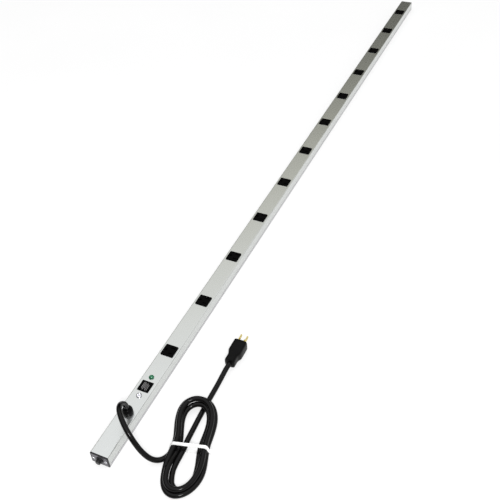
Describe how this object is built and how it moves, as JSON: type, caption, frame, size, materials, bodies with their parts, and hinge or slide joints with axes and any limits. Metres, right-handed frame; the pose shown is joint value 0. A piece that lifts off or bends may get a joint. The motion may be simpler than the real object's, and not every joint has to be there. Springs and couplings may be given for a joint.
{
  "type": "rack power strip",
  "caption": "Long slim metal power strip with a row of square outlets, pilot lamp, end reset button and a tied supply cord with a three-pin plug.",
  "frame": {"origin": "bottom centre of the strip with its end fittings, on the back face", "axes": "+Z out of the outlet face, +Y along the strip away from the cord end, +X across the strip"},
  "size_m": [0.1904, 1.8402, 0.074],
  "materials": {
    "housing_metal": "satin clear anodised, fine lengthwise grain",
    "base_metal": "satin mill finish",
    "cap_black": "moulded, slightly textured",
    "bracket_steel": "zinc plated",
    "screw_bright": "bright nickel plate",
    "receptacle_black": "moulded nylon, semi-matt",
    "receptacle_back": "moulded nylon",
    "contact_brass": "pressed strip",
    "wire_black": "extruded insulation",
    "wire_white": "extruded insulation",
    "wire_green": "extruded insulation",
    "terminal_tin": "tinned copper",
    "lamp_green": "clear moulded, dark green",
    "lamp_holder": "natural nylon",
    "label_black": "printed film",
    "breaker_black": "phenolic moulding",
    "button_black": "polished moulding",
    "relief_black": "moulded nylon",
    "cord_black": "glossy extruded PVC jacket",
    "tie_white": "natural nylon",
    "plug_black": "moulded PVC",
    "blade_brass": "polished"
  },
  "bodies": {
    "housing": {"base_channel": "base_metal", "cover": "housing_metal", "end_cap_near": "cap_black", "end_cap_far": "cap_black", "end_cap_screws": "screw_bright", "end_bracket_near": "bracket_steel", "end_bracket_far": "bracket_steel", "bracket_rivets": "bracket_steel", "line_contacts": "contact_brass", "neutral_contacts": "contact_brass", "ground_contacts": "contact_brass", "line_wires": "wire_black", "neutral_wire": "wire_white", "ground_wires": "wire_green", "ground_ring_terminals": "terminal_tin", "ground_screw": "bracket_steel", "cover_standoff": "bracket_steel", "cover_screw": "screw_bright", "lamp_lens": "lamp_green", "lamp_holder": "lamp_holder", "lamp_leads": "wire_white", "label_plate": "label_black", "breaker_body": "breaker_black", "breaker_nut": "breaker_black", "breaker_terminals": "terminal_tin", "strain_relief": "relief_black", "cord_jacket_end": "cord_black", "cord_lead": "cord_black", "cord_coil": "cord_black", "cord_tail": "cord_black", "cable_tie": "tie_white", "plug_body": "plug_black", "plug_blades": "blade_brass", "plug_ground_pin": "blade_brass", "receptacle_face_01": "receptacle_black", "receptacle_back_01": "receptacle_back", "receptacle_face_02": "receptacle_black", "receptacle_back_02": "receptacle_back", "receptacle_face_03": "receptacle_black", "receptacle_back_03": "receptacle_back", "receptacle_face_04": "receptacle_black", "receptacle_back_04": "receptacle_back", "receptacle_face_05": "receptacle_black", "receptacle_back_05": "receptacle_back", "receptacle_face_06": "receptacle_black", "receptacle_back_06": "receptacle_back", "receptacle_face_07": "receptacle_black", "receptacle_back_07": "receptacle_back", "receptacle_face_08": "receptacle_black", "receptacle_back_08": "receptacle_back", "receptacle_face_09": "receptacle_black", "receptacle_back_09": "receptacle_back", "receptacle_face_10": "receptacle_black", "receptacle_back_10": "receptacle_back", "receptacle_face_11": "receptacle_black", "receptacle_back_11": "receptacle_back", "receptacle_face_12": "receptacle_black", "receptacle_back_12": "receptacle_back"},
    "reset": {"reset_button": "button_black"}
  },
  "joints": [
    {"name": "reset_slide", "type": "slide", "parent": "housing", "child": "reset", "axis": [0, -1, 0], "range_m": [0, 0.0035]}
  ]
}
